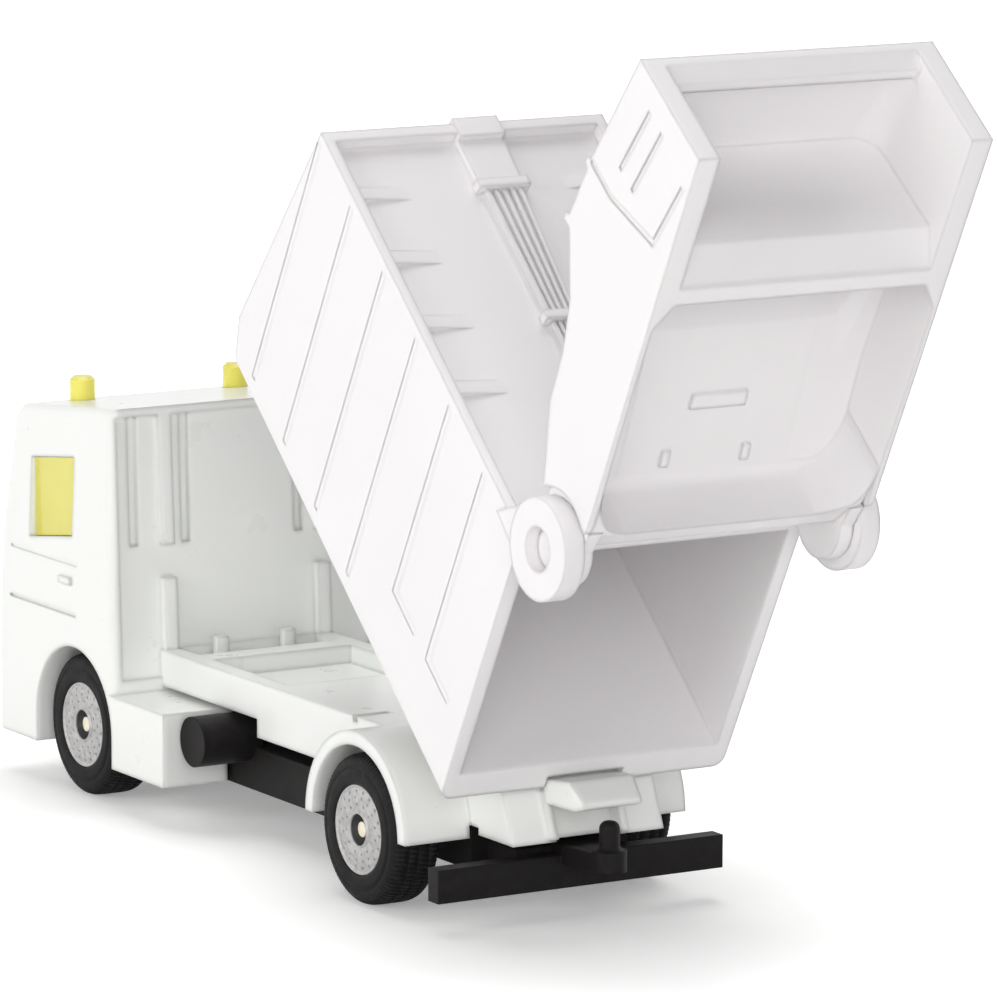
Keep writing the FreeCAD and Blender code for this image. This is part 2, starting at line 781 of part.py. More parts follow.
belt_near = d.cab_half - (d.cab_half - d.cab_top_half) * BELT_TAPER_SHARE - d.door_line_deep
beside(casting, "belt_line", belt_lines, belt_near, d.cab_half + d.overrun, cut=True)
handle = [box(-d.handle_front, -d.handle_rear, d.handle_low, d.handle_high)]
beside(casting, "door_handle", handle, d.cab_top_half, d.cab_half + d.handle_proud)
beacons = [
    disc(d.beacon_spread, -d.beacon_at, d.beacon_radius + d.beacon_play),
    disc(-d.beacon_spread, -d.beacon_at, d.beacon_radius + d.beacon_play),
]
upward(casting, "beacon_holes", beacons, d.window_rear_top, d.cab_rear_top + d.overrun, cut=True)
pin_bore = [disc(d.pivot_behind, d.pivot_height, d.pivot_pin_radius)]
across(casting, "pivot_bore", pin_bore, d.pivot_pin_half + d.overrun, cut=True)
placed(casting, NONE, NONE)

pin = new_body("container_pin")
across(pin, "pin", [disc(NONE, NONE, d.pivot_pin_radius)], d.pivot_pin_half)
placed(pin, d.pivot_behind, d.pivot_height)

# Yellow glazing with both beacons.
glazing = new_body("glazing")
glaze_side = [
    (-room_rear - d.glaze_play, d.glaze_under),
    (-room_rear - d.glaze_play, d.cab_rear_top - d.cab_wall - d.glaze_play),
    (-d.cab_brow_at, d.cab_brow_top - d.cab_wall - d.glaze_play),
    (d.cab_wall - d.cab_screen_top_at + d.glaze_play, d.cab_screen_top - d.cab_wall - d.glaze_play),
    (d.cab_wall - d.cab_waist_at + d.glaze_play, d.cab_waist),
    (d.cab_wall - d.cab_waist_at + d.glaze_play, d.glaze_under),
]
across(glazing, "panes", [glaze_side], d.cab_inner_half - d.glaze_play)
inner_side = [
    (-room_rear - d.glaze_play + d.overrun, d.glaze_under - d.overrun),
    (-room_rear - d.glaze_play + d.overrun, d.cab_rear_top - d.cab_wall - d.glaze_play - d.glaze_thick),
    (-d.cab_brow_at, d.cab_brow_top - d.cab_wall - d.glaze_play - d.glaze_thick),
    (d.cab_wall - d.cab_screen_top_at + d.glaze_thick, d.cab_screen_top - d.cab_wall - d.glaze_thick),
    (d.cab_wall - d.cab_waist_at + d.glaze_thick, d.cab_waist),
    (d.cab_wall - d.cab_waist_at + d.glaze_thick, d.glaze_under - d.overrun),
]
across(glazing, "pane_inside", [inner_side], d.cab_inner_half - d.glaze_play - d.glaze_thick, cut=True)
pane_side = [
    (d.glaze_play - d.window_front, d.window_front_sill + d.glaze_play),
    (-d.window_rear - d.glaze_play, d.window_rear_sill + d.glaze_play),
    (-d.window_rear - d.glaze_play, d.window_rear_top - d.glaze_play),
    (d.glaze_play - d.window_front, d.window_front_top - d.glaze_play),
]
beside(glazing, "side_pane", [pane_side], d.cab_inner_half - d.glaze_play - d.glaze_thick, d.pane_face)
domes = [
    disc(d.beacon_spread, -d.beacon_at, d.beacon_radius),
    disc(-d.beacon_spread, -d.beacon_at, d.beacon_radius),
]
upward(glazing, "beacon_domes", domes, d.window_rear_top + d.glaze_thick, d.beacon_top)
chamfered(glazing, "beacon_edge", d.beacon_edge, lambda m, e: near(m.z, d.beacon_top))
placed(glazing, NONE, NONE)

# Black interior seen through the windows.
interior = new_body("cab_interior")
seat_floor = d.cab_floor + d.seat_floor_thick
floor_side = box(d.cab_wall - d.cab_front + d.seat_play, -room_rear - d.seat_play, d.cab_floor, seat_floor)
across(interior, "floor", [floor_side], d.cab_inner_half - d.seat_play)
dash_side = box(-d.dash_front, -d.dash_rear, d.cab_floor, d.dash_top)
across(interior, "dashboard", [dash_side], d.dash_half)
seat_side = [
    (-d.seat_front, d.cab_floor),
    (-d.seat_rear, d.cab_floor),
    (-d.seat_rear, d.seat_back_top),
    (-d.seat_rear - d.seat_back_thick, d.seat_back_top),
    (-d.seat_rear - d.seat_back_thick, d.seat_top),
    (-d.seat_front, d.seat_top),
]
beside(interior, "seat", [seat_side], d.seat_near, d.seat_far)
placed(interior, NONE, NONE)


# Wheels: a rim pressed on the end of a steel axle, with a tyre round it.
def wheel_pieces(prefix, station, face):
    inner = face - d.tyre_width
    tyre_loop = [
        (inner, d.rim_radius),
        (inner, d.tyre_radius),
        (face - d.tyre_shoulder_run, d.tyre_radius),
        (face, d.tyre_shoulder),
        (face, d.rim_radius),
    ]
    rim_face = face - d.rim_recess
    rim_loop = [
        (inner + d.rim_inner_step, d.axle_radius),
        (inner + d.rim_inner_step, d.rim_radius),
        (rim_face, d.rim_radius),
        (rim_face, d.hub_hole_radius),
        (rim_face - d.hub_hole_depth, d.hub_hole_radius),
        (rim_face - d.hub_hole_depth, d.axle_radius),
    ]
    for side in ("left", "right"):
        for kind, loop in (("tyre", tyre_loop), ("rim", rim_loop)):
            name = "%s_%s_%s" % (prefix, side, kind)
            body = new_body(name)
            turned(body, kind, loop if side == "left" else mirrored(loop))
            placed(body, station, d.tyre_radius)
    axle = new_body(prefix + "_axle")
    across(axle, "axle", [disc(NONE, NONE, d.axle_radius)], face - d.axle_end_recess)
    placed(axle, station, d.tyre_radius)


wheel_pieces("front", front_axle_y, d.front_wheel_face)
wheel_pieces("rear", NONE, d.rear_wheel_face)


# Container: its own origin is the pivot under its floor.
def bed(run, rise):
    return (d.pivot_run - run, as_size(rise) - d.pivot_rise)


def rear_run(rise):
    return d.rear_foot + d.rear_lean_share * as_size(rise)


container = new_body("container")
shell = [
    bed(rear_run(d.under_rise), d.under_rise),
    bed(rear_run(d.roof_rise), d.roof_rise),
    bed(d.front_top_run, d.roof_rise),
    bed(d.front_low_run, d.front_low_rise),
    bed(d.front_foot_run, d.under_rise),
]
across(container, "shell", [shell], d.box_half)


def at_box_foot(middle, edge):
    """The two long lower edges of the container."""
    return near(middle.z, d.under_rise - d.pivot_rise) and near(abs(middle.x), d.box_half)


rounded(container, "box_foot_round", d.box_foot_round, at_box_foot)
load_space = [
    bed(rear_run(d.floor_rise) - d.overrun, d.floor_rise),
    bed(rear_run(d.ceiling_rise) - d.overrun, d.ceiling_rise),
    bed(d.front_inner_run, d.ceiling_rise),
    bed(d.front_inner_run, d.floor_rise),
]
across(container, "load_space", [load_space], d.box_half - d.box_wall, cut=True)
recess = [
    bed(d.recess_rear_run, d.roof_recess_rise),
    bed(d.recess_rear_run, d.roof_rise + d.overrun),
    bed(d.recess_front_run, d.roof_rise + d.overrun),
    bed(d.recess_front_run, d.roof_recess_rise),
]
lip_inner = d.box_half - d.lip_width
across(container, "roof_recess", [recess], lip_inner, cut=True)
for index in range(ROOF_RIBS):
    run = d.rib_first_run + index * d.rib_pitch
    for side, sign in (("left", 1), ("right", -1)):
        ramp = [
            (sign * lip_inner, d.roof_recess_rise - d.pivot_rise),
            (sign * lip_inner, d.rib_crest_rise - d.pivot_rise),
            (sign * d.rib_end, d.roof_recess_rise - d.pivot_rise),
        ]
        name = "roof_rib_%d_%s" % (index + 1, side)
        lengthwise(container, name, [ramp], d.pivot_run - run - d.rib_thick, d.pivot_run - run)


def plan(right_left_runs):
    """Plan outline on the roof from (across, run) pairs."""
    return [(across_it, d.pivot_run - run) for across_it, run in right_left_runs]


def on_roof(name, loops, thick):
    low = d.roof_recess_rise - d.pivot_rise
    return upward(container, name, loops, low, low + thick)


duct_front = [
    (d.duct_left, d.duct_front_run),
    (d.duct_left, d.duct_mid_run),
    (-d.duct_mid_right, d.duct_mid_run),
    (-d.duct_front_right, d.duct_lip_run),
    (-d.duct_front_right, d.duct_front_run),
]
on_roof("hose_duct", [plan(duct_front)], d.duct_thick)
duct_lip = [
    (d.duct_left, d.duct_front_run),
    (d.duct_left, d.duct_lip_run),
    (-d.duct_front_right, d.duct_lip_run),
    (-d.duct_front_right, d.duct_front_run),
]
on_roof("hose_duct_lip", [plan(duct_lip)], d.roof_rise - d.roof_recess_rise + d.duct_over_lip)
hose_bed = [
    (d.duct_left, d.duct_mid_run),
    (d.duct_left, d.duct_rear_run),
    (-d.duct_rear_right, d.duct_rear_run),
    (-d.duct_mid_right, d.duct_mid_run),
]
on_roof("hose_bed", [plan(hose_bed)], d.hose_bed_thick)
hoses = []
for share in HOSE_SHARES:
    front_x = d.duct_left - share * (d.duct_left + d.duct_mid_right)
    rear_x = d.duct_left - share * (d.duct_left + d.duct_rear_right)
    hose = [
        (front_x, d.duct_mid_run),
        (rear_x, d.duct_rear_run),
        (rear_x - d.hose_wide * HOSE_END_SHARE, d.duct_rear_run),
        (front_x - d.hose_wide, d.duct_mid_run),
    ]
    hoses.append(plan(hose))
on_roof("hoses", hoses, d.hose_thick)
for name, run in (("front_clamp", d.duct_mid_run), ("rear_clamp", d.rear_clamp_run)):
    span = (run.value - d.duct_rear_run.value) / (d.duct_mid_run.value - d.duct_rear_run.value)
    reach = d.duct_rear_right + (d.duct_mid_right - d.duct_rear_right) * span
    clamp = [
        (d.duct_left + d.clamp_past, run),
        (d.duct_left + d.clamp_past, run - d.clamp_wide),
        (-reach - d.clamp_past, run - d.clamp_wide),
        (-reach - d.clamp_past, run),
    ]
    on_roof(name, [plan(clamp)], d.clamp_thick)
notch = [
    bed(-d.overrun, d.under_rise - d.overrun),
    bed(-d.overrun, d.notch_rise),
    bed(d.notch_run, d.notch_rise),
    bed(d.notch_run, d.under_rise - d.overrun),
]
across(container, "stop_notch", [notch], d.notch_half, cut=True)
ring = [disc(d.pivot_run - d.lug_run, d.lug_rise - d.pivot_rise, d.lug_radius)]
beside(container, "tailgate_lug", ring, d.lug_face - d.lug_thick, d.lug_face)
neck = [
    bed(d.lug_neck_low_run, d.lug_neck_low_rise),
    bed(d.lug_neck_front_run, d.lug_neck_front_rise),
    bed(d.lug_neck_top_run, d.lug_neck_top_rise),
    bed(d.lug_run, d.lug_rise),
]
beside(container, "lug_neck", [neck], d.lug_face - d.lug_thick, d.box_half + d.gate_gap)
eye = [disc(d.pivot_run - d.lug_run, d.lug_rise - d.pivot_rise, d.lug_hole)]
beside(container, "lug_eye", eye, d.lug_face - d.lug_thick - d.overrun, d.lug_face + d.overrun, cut=True)
floor_under = d.under_rise - d.pivot_rise
lug_stem = box(-d.pivot_lug_radius, d.pivot_lug_radius, NONE, floor_under + d.gate_gap)
beside(container, "pivot_lug_stem", [lug_stem], d.pivot_lug_near, d.pivot_lug_far)
beside(container, "pivot_lug", [disc(NONE, NONE, d.pivot_lug_radius)], d.pivot_lug_near, d.pivot_lug_far)
pivot_eye = [disc(NONE, NONE, d.pivot_pin_radius + d.pivot_play)]
across(container, "pivot_eye", pivot_eye, d.pivot_lug_far + d.overrun, cut=True)
grooves = []
for index in range(SIDE_GROOVES):
    foot = d.groove_first_run + index * d.groove_pitch
    low_rise = d.groove_knee_rise if index < SHORT_GROOVES else d.groove_low_rise
    low = foot + d.groove_lean_share * low_rise
    high = foot + d.groove_lean_share * d.groove_high_rise
    line = [
        bed(low - d.groove_wide, low_rise),
        bed(high - d.groove_wide, d.groove_high_rise),
        bed(high, d.groove_high_rise),
        bed(low, low_rise),
    ]
    if index < SHORT_GROOVES:
        line = [
            bed(low - d.groove_wide, low_rise + d.groove_wide),
            bed(high - d.groove_wide, d.groove_high_rise),
            bed(high, d.groove_high_rise),
            bed(low, low_rise),
            bed(low - d.groove_foot_run, low_rise),
            bed(low - d.groove_foot_run, low_rise + d.groove_wide),
        ]
    grooves.append(line)
beside(container, "side_grooves", grooves, d.box_half - d.groove_deep, d.box_half + d.gate_gap, cut=True)
placed(container, d.pivot_behind, d.pivot_height, -d.tip_turn)


# Tailgate: its own origin is the middle of its two pins, drawn shut and turned open.
def gate(run, rise):
    return (d.lug_run - run, as_size(rise) - d.lug_rise)


def rim_run(rise):
    return rear_run(rise) - d.gate_gap


tailgate = new_body("tailgate")
skin = [
    gate(rim_run(d.gate_top_rise), d.gate_top_rise),
    gate(d.gate_cap_run + d.gate_wall, d.gate_cap_rise),
    gate(d.gate_cap_run, d.gate_cap_rise),
    gate(d.gate_heel_run, d.gate_heel_rise),
    gate(d.gate_back_run, d.gate_back_rise),
    gate(d.gate_mid_run, d.gate_mid_rise),
    gate(d.gate_hip_run, d.gate_hip_rise),
    gate(d.gate_shelf_run, d.gate_shelf_rise),
    gate(d.gate_bulge_run, d.gate_bulge_rise),
    gate(d.gate_sill_run, d.gate_sill_rise),
    gate(rim_run(d.gate_foot_rise), d.gate_foot_rise),
]
across(tailgate, "skin", [skin], d.gate_half)
upper_room = [
    gate(d.panel_top_run, d.panel_top_rise),
    gate(d.panel_mid_run, d.panel_mid_rise),
    gate(d.panel_low_run, d.panel_low_rise),
    gate(d.panel_foot_run, d.shelf_top_rise),
    gate(rim_run(d.shelf_top_rise) + d.overrun, d.shelf_top_rise),
    gate(rim_run(d.panel_top_rise) + d.overrun, d.panel_top_rise),
]
room_half = d.gate_half - d.gate_wall
across(tailgate, "upper_room", [upper_room], room_half, cut=True)


def at_end_corner(middle, edge):
    """The inner corner between the back panel and the end wall beside the pins."""
    run_at = (d.lug_run - d.panel_top_run).value
    rise_at = (d.panel_top_rise - d.lug_rise).value
    return near(middle.y, run_at) and near(middle.z, rise_at)


rounded(tailgate, "room_end_round", d.room_end_corner, at_end_corner)
hopper = [
    gate(rim_run(d.shelf_under_rise) + d.overrun, d.shelf_under_rise),
    gate(d.shelf_bend_run, d.shelf_bend_rise),
    gate(d.hopper_back_run, d.hopper_back_rise),
    gate(d.hopper_back_run, d.hopper_floor_rise),
    gate(d.hopper_lip_run, d.hopper_lip_rise),
    gate(d.hopper_lip_run, d.hopper_lip_rise - d.hopper_lip_thick),
    gate(d.hopper_sill_run, d.hopper_sill_rise),
    gate(d.hopper_sill_run, d.gate_foot_rise - d.overrun),
    gate(rim_run(d.shelf_under_rise) + d.overrun, d.gate_foot_rise - d.overrun),
]
across(tailgate, "hopper", [hopper], room_half, cut=True)


def at_hopper_corner(middle, edge):
    """The two upright inner corners at the back of the hopper."""
    run_at = (d.lug_run - d.hopper_back_run).value
    upright = near(edge.BoundBox.YLength, NONE) and near(middle.y, run_at)
    return upright and near(abs(middle.x), room_half)


rounded(tailgate, "hopper_round", d.hopper_corner, at_hopper_corner)


def panel_run(rise):
    """Run of the back panel's inner face at a given rise."""
    high = d.panel_top_rise.value - d.panel_mid_rise.value
    share = (as_size(rise).value - d.panel_mid_rise.value) / high
    return d.panel_mid_run + (d.panel_top_run - d.panel_mid_run) * share


def on_panel(low_rise, high_rise, low_thick, high_thick):
    """Side outline of something that stands on the back panel's inner face."""
    return [
        gate(panel_run(low_rise) - d.gate_gap, low_rise),
        gate(panel_run(low_rise) + low_thick, low_rise),
        gate(panel_run(high_rise) + high_thick, high_rise),
        gate(panel_run(high_rise) - d.gate_gap, high_rise),
    ]


gusset = [
    gate(d.panel_low_run - d.gate_gap, d.shelf_top_rise - d.gate_gap),
    gate(d.gusset_foot_run, d.shelf_top_rise - d.gate_gap),
    gate(panel_run(d.gusset_top_rise), d.gusset_top_rise),
    gate(panel_run(d.gusset_top_rise) - d.gate_gap, d.gusset_top_rise),
    gate(d.panel_mid_run - d.gate_gap, d.panel_mid_rise),
    gate(d.panel_low_run - d.gate_gap, d.panel_low_rise),
]
beside(tailgate, "room_gusset", [gusset], d.gusset_near, room_half + d.gate_gap)
mark_bar = on_panel(d.mark_bar_low_rise, d.mark_bar_high_rise, d.mark_thick, d.mark_thick)
across(tailgate, "panel_mark", [mark_bar], d.mark_bar_half)
mark = on_panel(d.mark_low_rise, d.mark_high_rise, d.mark_thick, d.mark_thick)
beside(tailgate, "panel_side_mark", [mark], d.mark_near, d.mark_far)
back_ribs = []
for run, rise in ((d.gate_bulge_run, d.gate_bulge_rise), (d.gate_shelf_run, d.gate_shelf_rise)):
    rib = [
        gate(run - d.back_rib_proud, rise),
        gate(run - d.back_rib_proud, rise + d.back_rib_wide),
        gate(run + d.back_rib_wide, rise + d.back_rib_wide),
        gate(run + d.back_rib_wide, rise),
    ]
    back_ribs.append(rib)
across(tailgate, "back_ribs", back_ribs, d.gate_half)
relief = []
for run in (d.relief_rear_run, d.relief_front_run):
    line = [
        gate(run, d.relief_low_rise),
        gate(run, d.relief_high_rise),
        gate(run - d.relief_wide, d.relief_high_rise),
        gate(run - d.relief_wide, d.relief_low_rise),
    ]
    relief.append(line)
belt = [
    gate(d.gate_sill_run + d.relief_wide, d.relief_belt_rise),
    gate(d.relief_belt_run, d.relief_belt_rise),
    gate(d.relief_step_run, d.relief_step_rise),
    gate(d.relief_step_run, d.relief_foot_rise),
    gate(d.relief_step_run - d.relief_wide, d.relief_foot_rise),
    gate(d.relief_step_run - d.relief_wide, d.relief_step_rise - d.relief_wide),
    gate(d.relief_belt_run, d.relief_belt_rise - d.relief_wide),
    gate(d.gate_sill_run + d.relief_wide, d.relief_belt_rise - d.relief_wide),
]
relief.append(belt)
beside(tailgate, "side_relief", relief, d.gate_half - d.relief_deep, d.gate_half + d.overrun, cut=True)
lug_room = [disc(NONE, NONE, d.lug_radius + d.ear_play)]
ear_far = d.lug_face - d.lug_thick - d.gate_pin_play
beside(tailgate, "lug_room", lug_room, ear_far, d.gate_half + d.overrun, cut=True)
ear_neck = [
    gate(d.ear_neck_rear_run, d.ear_neck_rear_rise),
    gate(d.ear_neck_rear_run, d.lug_rise),
    gate(d.ear_neck_front_run, d.lug_rise),
    gate(d.ear_neck_front_run, d.ear_neck_front_rise),
]
beside(tailgate, "ear_neck", [ear_neck], ear_far - d.ear_thick, ear_far)
beside(tailgate, "ear", [disc(NONE, NONE, d.ear_radius)], ear_far - d.ear_thick, ear_far)
pin_far = d.lug_face - d.gate_pin_recess
gate_pin = [disc(NONE, NONE, d.lug_hole - d.gate_pin_play)]
beside(tailgate, "gate_pin", gate_pin, ear_far - d.ear_thick, pin_far)
gate_angle = d.gate_turn - d.tip_turn
back = (d.pivot_run - d.lug_run).formula
above = (d.lug_rise - d.pivot_rise).formula
angle = d.tip_turn.formula + " * 1 deg"
turn = FreeCAD.Rotation(V(1, 0, 0), -d.tip_turn.value)
at = turn.multVec(V(0, d.pivot_run.value - d.lug_run.value, d.lug_rise.value - d.pivot_rise.value))
along = Size(at.y, "(%s * cos(%s) + %s * sin(%s))" % (back, angle, above, angle))
up = Size(at.z, "(%s * cos(%s) - %s * sin(%s))" % (above, angle, back, angle))
placed(tailgate, d.pivot_behind + along, d.pivot_height + up, gate_angle)

doc.recompute()
for item in doc.Objects:
    if "Invalid" in item.State or "Error" in item.State:
        raise ValueError("not built: %s %s" % (item.Name, item.State))
os.makedirs("parts", exist_ok=True)
for name, body in bodies.items():
    shape = body.Shape
    if shape.isNull() or not shape.isValid() or len(shape.Solids) != 1:
        raise ValueError("bad solid: %s with %d solids" % (name, len(shape.Solids)))
    shape.exportStep("parts/%s.step" % name)
print("wrote", len(bodies), "parts")
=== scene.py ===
import json
import math

import bmesh
import bpy
from mathutils import Matrix, Vector


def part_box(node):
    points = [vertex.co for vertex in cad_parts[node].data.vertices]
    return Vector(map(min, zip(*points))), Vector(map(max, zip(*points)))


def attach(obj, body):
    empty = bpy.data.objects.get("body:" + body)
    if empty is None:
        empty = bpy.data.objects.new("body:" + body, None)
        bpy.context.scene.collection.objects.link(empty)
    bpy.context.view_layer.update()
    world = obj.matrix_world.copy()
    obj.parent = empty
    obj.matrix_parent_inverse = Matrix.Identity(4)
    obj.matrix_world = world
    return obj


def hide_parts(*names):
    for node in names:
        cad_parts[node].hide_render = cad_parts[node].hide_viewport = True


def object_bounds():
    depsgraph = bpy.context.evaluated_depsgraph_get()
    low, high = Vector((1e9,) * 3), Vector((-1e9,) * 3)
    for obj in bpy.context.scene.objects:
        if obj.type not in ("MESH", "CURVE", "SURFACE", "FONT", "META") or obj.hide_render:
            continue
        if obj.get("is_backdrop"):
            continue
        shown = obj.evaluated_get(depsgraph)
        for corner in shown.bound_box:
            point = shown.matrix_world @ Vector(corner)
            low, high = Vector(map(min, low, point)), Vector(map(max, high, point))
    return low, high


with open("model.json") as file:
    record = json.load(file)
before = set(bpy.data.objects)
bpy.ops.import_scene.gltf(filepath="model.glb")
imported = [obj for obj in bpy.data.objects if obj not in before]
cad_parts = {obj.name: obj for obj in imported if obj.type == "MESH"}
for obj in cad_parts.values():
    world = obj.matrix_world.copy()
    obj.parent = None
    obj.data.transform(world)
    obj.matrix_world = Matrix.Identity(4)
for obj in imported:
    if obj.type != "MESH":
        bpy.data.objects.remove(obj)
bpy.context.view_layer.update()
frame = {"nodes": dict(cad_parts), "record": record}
NODES = frame["nodes"]
MM = 0.001

# ---------------------------------------------------------------- materials

NOISE_DETAIL, NOISE_ROUGHNESS = 4.0, 0.55
ROUGHNESS_SPAN = (0.25, 0.75)
BUMP_DISTANCE = 0.00001
BEVEL_SAMPLES = 6


def colours_of(sockets):
    """The colour sockets of a mix node, whose other types have sockets of the same names."""
    return [socket for socket in sockets if socket.type == "RGBA"]


class Graph:
    """A node tree in which each short call places a node and returns its output."""

    def __init__(self, tree):
        self.nodes, self.links = tree.nodes, tree.links

    def maths(self, operation, first, second):
        node = self.nodes.new("ShaderNodeMath")
        node.operation = operation
        self.links.new(first, node.inputs[0])
        self.links.new(second, node.inputs[1])
        return node.outputs[0]

    def ramp(self, source, span, first, last, smooth=False):
        node = self.nodes.new("ShaderNodeMapRange")
        if smooth:
            node.interpolation_type = "SMOOTHSTEP"
        node.inputs["From Min"].default_value, node.inputs["From Max"].default_value = span
        node.inputs["To Min"].default_value = first
        node.inputs["To Max"].default_value = last
        self.links.new(source, node.inputs["Value"])
        return node.outputs["Result"]

    def mix(self, factor, first, second):
        node = self.nodes.new("ShaderNodeMix")
        node.data_type = "RGBA"
        self.links.new(factor, node.inputs["Factor"])
        for target, value in zip(colours_of(node.inputs), (first, second)):
            if isinstance(value, bpy.types.NodeSocket):
                self.links.new(value, target)
            else:
                target.default_value = (*value, 1)
        return colours_of(node.outputs)[0]

    def seen(self):
        """1 where the camera looks, also by way of a gloss or a clear piece, and else 0."""
        path = self.nodes.new("ShaderNodeLightPath")
        found = path.outputs["Is Camera Ray"]
        for ray in ("Is Glossy Ray", "Is Transmission Ray"):
            found = self.maths("MAXIMUM", found, path.outputs[ray])
        return found


class Look(Graph):
    """A principled material."""

    def __init__(self, name, base, base_roughness, settings):
        self.material = bpy.data.materials.new(name)
        self.material.use_nodes = True
        super().__init__(self.material.node_tree)
        self.surface = self.nodes["Principled BSDF"]
        self.surface.inputs["Base Color"].default_value = (*base, 1)
        self.surface.inputs["Roughness"].default_value = base_roughness
        for key, value in settings.items():
            self.surface.inputs[key].default_value = value
        self.place = self.nodes.new("ShaderNodeTexCoord").outputs["Object"]

    def noise(self, scale, detail=NOISE_DETAIL):
        node = self.nodes.new("ShaderNodeTexNoise")
        node.inputs["Scale"].default_value = scale
        node.inputs["Detail"].default_value = detail
        node.inputs["Roughness"].default_value = NOISE_ROUGHNESS
        self.links.new(self.place, node.inputs["Vector"])
        return node.outputs["Fac"]

    def worn(self, colour, edges, scale, span, amount, bare):
        """Scuffs along the edges, broken up by noise."""
        pointed = self.nodes.new("ShaderNodeNewGeometry").outputs["Pointiness"]
        mask = self.maths("MULTIPLY", self.ramp(pointed, edges, 0.0, 1.0),
                          self.ramp(self.noise(scale), span, 0.0, amount))
        return self.mix(mask, colour, bare)

    def paint_dent_shade(self, colour, amount, dent_shade):
        """Painted shade: darker where the mesh attribute dots says so, in the rim's dents and its hub hole.
        """
        dots = self.nodes.new("ShaderNodeAttribute")
        dots.attribute_name = "dots"
        return self.mix(self.ramp(dots.outputs["Fac"], (0.0, 1.0), 0.0, amount), colour, dent_shade)

    def bumps(self, source, strength, rounding):
        bump = self.nodes.new("ShaderNodeBump")
        bump.inputs["Strength"].default_value = strength
        bump.inputs["Distance"].default_value = BUMP_DISTANCE
        self.links.new(source, bump.inputs["Height"])
        if rounding:
            soft = self.nodes.new("ShaderNodeBevel")
            soft.samples = BEVEL_SAMPLES
            soft.inputs["Radius"].default_value = rounding
            self.links.new(soft.outputs["Normal"], bump.inputs["Normal"])
        self.links.new(bump.outputs["Normal"], self.surface.inputs["Normal"])


# Each noise is its scale, or scale and detail. tints are two colours that noise blends over tint_span.
# wear bares edges by how pointed they are. rounding is the radius in metres of edges softened in shading.
LOOKS = {
    "painted_casting": dict(
        name="white_enamel", base=(0.84, 0.855, 0.83), base_roughness=0.3,
        settings={"Coat Weight": 0.25, "Coat Roughness": 0.15},
        tint_noise=(60.0, 2.0), tint_span=(0.3, 0.7), tints=((0.83, 0.845, 0.82), (0.85, 0.865, 0.84)),
        wear=dict(edges=(0.54, 0.62), scale=900.0, span=(0.5, 0.7), amount=0.035, bare=(0.72, 0.72, 0.70)),
        roughness_noise=(300.0,), roughness=(0.26, 0.36),
        bump_noise=(500.0, 2.0), bump_strength=0.12, rounding=0.0007,
    ),
    "white_plastic": dict(
        name="white_moulding", base=(0.86, 0.845, 0.85), base_roughness=0.45,
        settings={"Subsurface Weight": 0.1, "Subsurface Radius": (0.0012, 0.0009, 0.001),
                  "Subsurface Scale": 1.0},
        tint_noise=(45.0, 2.0), tint_span=(0.3, 0.7), tints=((0.85, 0.832, 0.84), (0.87, 0.857, 0.862)),
        wear=dict(edges=(0.55, 0.64), scale=1100.0, span=(0.5, 0.7), amount=0.06, bare=(0.78, 0.76, 0.76)),
        roughness_noise=(420.0,), roughness=(0.4, 0.5),
        bump_noise=(700.0, 2.0), bump_strength=0.1, rounding=0.0005,
    ),
    "black_plastic": dict(
        name="black_moulding", base=(0.012, 0.011, 0.011), base_roughness=0.5,
        settings={"Specular IOR Level": 0.1},
        tint_noise=(90.0, 2.0), tint_span=(0.3, 0.7), tints=((0.008, 0.007, 0.007), (0.011, 0.010, 0.010)),
        wear=dict(edges=(0.54, 0.62), scale=1000.0, span=(0.45, 0.7), amount=0.15, bare=(0.04, 0.038, 0.038)),
        roughness_noise=(500.0,), roughness=(0.42, 0.56),
        bump_noise=(900.0, 2.0), bump_strength=0.2, rounding=0.0002,
    ),
    "yellow_glazing": dict(
        name="yellow_glazing", base=(0.97, 0.92, 0.22), base_roughness=0.12,
        settings={"Transmission Weight": 0.3, "IOR": 1.49},
        tint_noise=(150.0, 2.0), tint_span=(0.3, 0.7), tints=((0.93, 0.86, 0.13), (0.97, 0.91, 0.18)),
        roughness_noise=(600.0,), roughness=(0.1, 0.2),
        bump_noise=(700.0, 2.0), bump_strength=0.1, rounding=0.0001,
    ),
    "silver_plastic": dict(
        name="silver_moulding", base=(0.42, 0.42, 0.42), base_roughness=0.45, settings={"Metallic": 0.2},
        tint_noise=(2200.0, 2.0), tint_span=(0.35, 0.65), tints=((0.36, 0.355, 0.355), (0.48, 0.475, 0.47)),
        # dots paints shade, nearly black, into the rim's dents and its hub hole
        dots=dict(amount=0.9, dent_shade=(0.03, 0.03, 0.03)),
        roughness_noise=(900.0,), roughness=(0.36, 0.5),
        bump_noise=(2200.0, 2.0), bump_strength=0.2, rounding=0.0,
    ),
    "tyre_black": dict(
        name="tyre_black", base=(0.016, 0.015, 0.015), base_roughness=0.55,
        settings={"Specular IOR Level": 0.09},
        tint_noise=(250.0, 3.0), tint_span=(0.3, 0.7), tints=((0.009, 0.0085, 0.009), (0.013, 0.012, 0.0125)),
        wear=dict(edges=(0.52, 0.58), scale=1500.0, span=(0.45, 0.7), amount=0.5, bare=(0.06, 0.057, 0.056)),
        roughness_noise=(800.0,), roughness=(0.5, 0.65),
        bump_noise=(1500.0, 2.0), bump_strength=0.3, rounding=0.0,
    ),
    "steel_pin": dict(
        name="pin_steel", base=(0.80, 0.74, 0.60), base_roughness=0.4, settings={"Metallic": 0.3},
        tint_noise=(1800.0, 2.0), tint_span=(0.35, 0.65), tints=((0.76, 0.69, 0.54), (0.86, 0.80, 0.66)),
        roughness_noise=(1800.0, 2.0), roughness=(0.34, 0.48),
        bump_noise=(1800.0, 2.0), bump_strength=0.2, rounding=0.0001,
    ),
}


